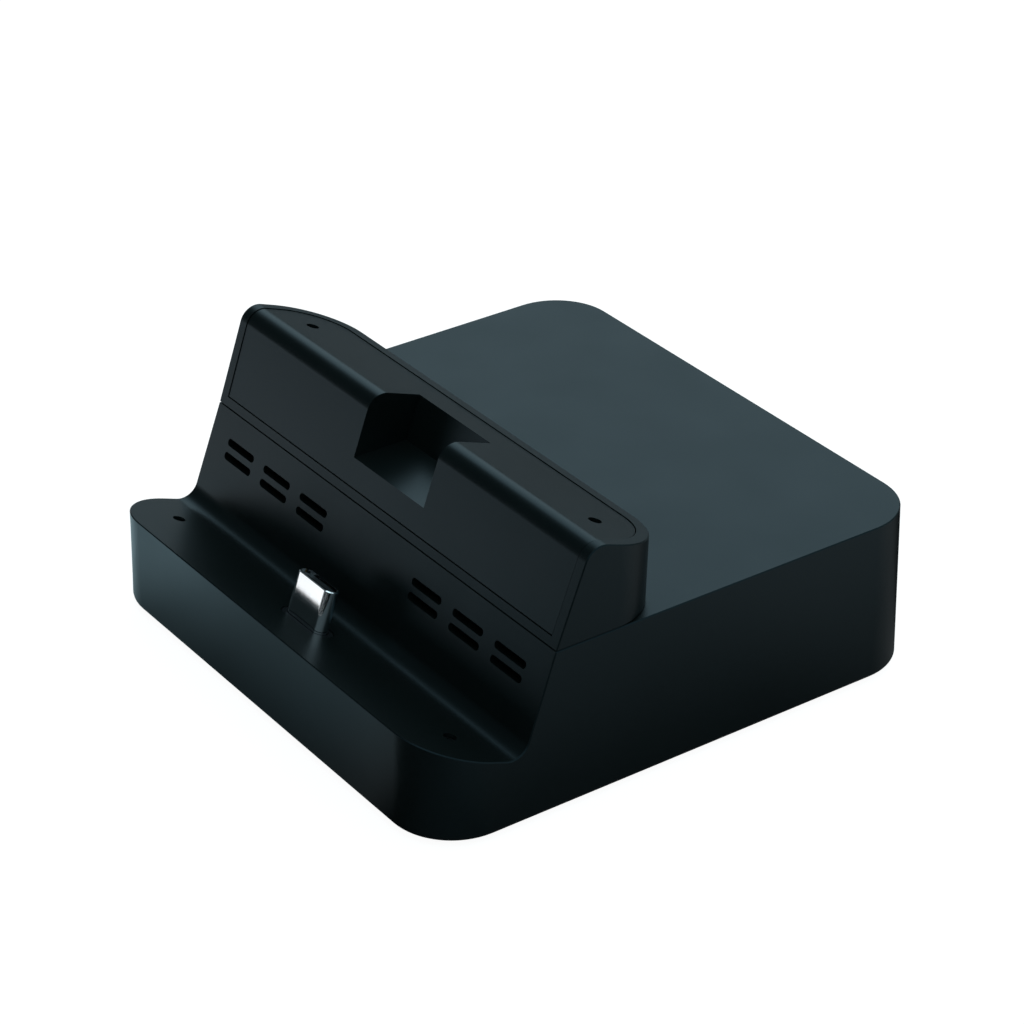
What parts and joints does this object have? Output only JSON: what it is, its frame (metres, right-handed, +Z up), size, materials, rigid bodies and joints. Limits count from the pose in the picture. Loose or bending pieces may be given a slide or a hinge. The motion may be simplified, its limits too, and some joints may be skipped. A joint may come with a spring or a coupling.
{
  "type": "handheld console dock",
  "caption": "Low square dock for a handheld console: a tilted ledge with an upright plug, a sloped back rest with vents and a raised riser with a pocket, and ports at the rear.",
  "frame": {"origin": "centre of the square base on the plane that the rubber feet stand on", "axes": "+Z up, -Y towards the ledge and the person in front, +X to the right as seen from there"},
  "size_m": [0.0842, 0.0836, 0.0387],
  "materials": {
    "shell_plastic": "fine moulded texture, matte, near black with a cool tint",
    "cover_plastic": "fine moulded texture, satin, near black with a cool tint",
    "bottom_plastic": "coarser moulded texture, matte",
    "foot_rubber": "soft matte",
    "black_screw": "black oxide",
    "steel_screw": "plain zinc plate",
    "plug_steel": "bright drawn",
    "port_steel": "plain nickel plate",
    "shield_steel": "tinned sheet",
    "black_moulding": "smooth",
    "contact_gold": "gold plate",
    "circuit_board": "solder mask",
    "chip_package": "moulded epoxy",
    "capacitor_can": "drawn can",
    "crystal_can": "plain can",
    "ribbon_film": "film",
    "pad_silicone": "soft"
  },
  "bodies": {
    "root": {"base_shell": "shell_plastic", "riser_shell": "shell_plastic", "riser_cover": "cover_plastic", "bottom_cover": "bottom_plastic", "foot_front_left": "foot_rubber", "foot_front_right": "foot_rubber", "foot_rear_left": "foot_rubber", "foot_rear_right": "foot_rubber", "ledge_screws": "black_screw", "cover_screws": "black_screw", "bottom_screws": "black_screw", "riser_screws": "steel_screw", "board_screws": "steel_screw", "plug_board_screws": "steel_screw", "plug_shell": "plug_steel", "hdmi_shell": "port_steel", "usb_a_shell": "port_steel", "usb_c_shell": "port_steel", "board_shield": "shield_steel", "plug_core": "black_moulding", "plug_collar": "black_moulding", "plug_bracket": "black_moulding", "hdmi_tongue": "black_moulding", "usb_a_tongue": "black_moulding", "usb_c_tongue": "black_moulding", "plug_ribbon_socket": "black_moulding", "main_ribbon_socket": "black_moulding", "plug_contacts": "contact_gold", "hdmi_contacts": "contact_gold", "usb_a_contacts": "contact_gold", "usb_c_contacts": "contact_gold", "main_board": "circuit_board", "plug_board": "circuit_board", "video_chip": "chip_package", "hub_chip": "chip_package", "power_chip": "chip_package", "power_inductor": "chip_package", "capacitors": "capacitor_can", "clock_crystal": "crystal_can", "ribbon_cable": "ribbon_film", "thermal_pad": "pad_silicone"}
  },
  "joints": []
}
